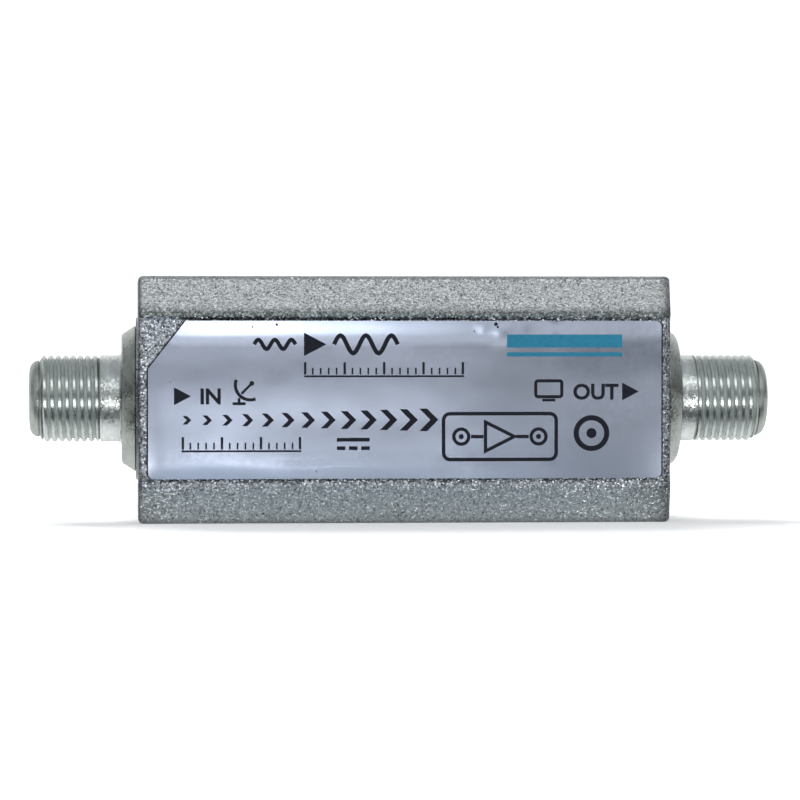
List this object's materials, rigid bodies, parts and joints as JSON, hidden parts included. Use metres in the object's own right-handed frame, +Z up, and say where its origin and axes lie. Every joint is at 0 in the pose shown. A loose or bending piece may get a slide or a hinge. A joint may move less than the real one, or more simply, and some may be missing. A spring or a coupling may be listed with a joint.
{
  "type": "inline signal amplifier",
  "caption": "Inline satellite signal amplifier: die-cast box with a threaded coaxial jack at each end, a recessed foil label and a pressed-in cover behind its board.",
  "frame": {"origin": "middle of the long side that the box stands on, on the surface below it", "axes": "+X along the box from the input jack to the output jack, +Y from the label towards the back cover, +Z up across the box"},
  "size_m": [0.0804, 0.02, 0.0264],
  "materials": {
    "cast_housing": "rough die-cast zinc, nickel plated, sparkling grain",
    "cover_plate": "satin tinned steel sheet",
    "label_foil": "silver-blue satin foil with dark print",
    "jack_nickel": "nickel-plated metal, slightly rough",
    "insulator": "waxy natural plastic",
    "contact_brass": "gilded spring brass",
    "board": "green solder mask over glass-fibre laminate",
    "copper": "tinned copper foil",
    "solder": "bright solder",
    "package": "moulded black epoxy with tinned leads",
    "chip_ceramic": "brown ceramic with tinned ends",
    "chip_resistor": "black glaze with tinned ends",
    "coil_wire": "enamelled copper wire",
    "capacitor_can": "aluminium can on a black base",
    "diode_glass": "amber glass body with metal end caps"
  },
  "bodies": {
    "amplifier": {"housing": "cast_housing", "rating_label": "label_foil", "input_jack": "jack_nickel", "input_front_insulator": "insulator", "input_rear_insulator": "insulator", "input_contact": "contact_brass", "output_jack": "jack_nickel", "output_front_insulator": "insulator", "output_rear_insulator": "insulator", "output_contact": "contact_brass", "circuit_board": "board", "ground_foil": "copper", "copper_tracks": "copper", "ground_solder": "solder", "contact_solder": "solder", "first_transistor": "package", "second_transistor": "package", "voltage_regulator": "package", "coupling_capacitors": "chip_ceramic", "bypass_capacitors": "chip_ceramic", "bias_resistors": "chip_resistor", "input_choke": "coil_wire", "output_choke": "coil_wire", "supply_capacitor": "capacitor_can", "protection_diode": "diode_glass"},
    "cover": {"back_cover": "cover_plate"}
  },
  "joints": [
    {"name": "cover_pull", "type": "slide", "parent": "amplifier", "child": "cover", "axis": [0, 1, 0], "range_m": [0, 0.03]}
  ]
}
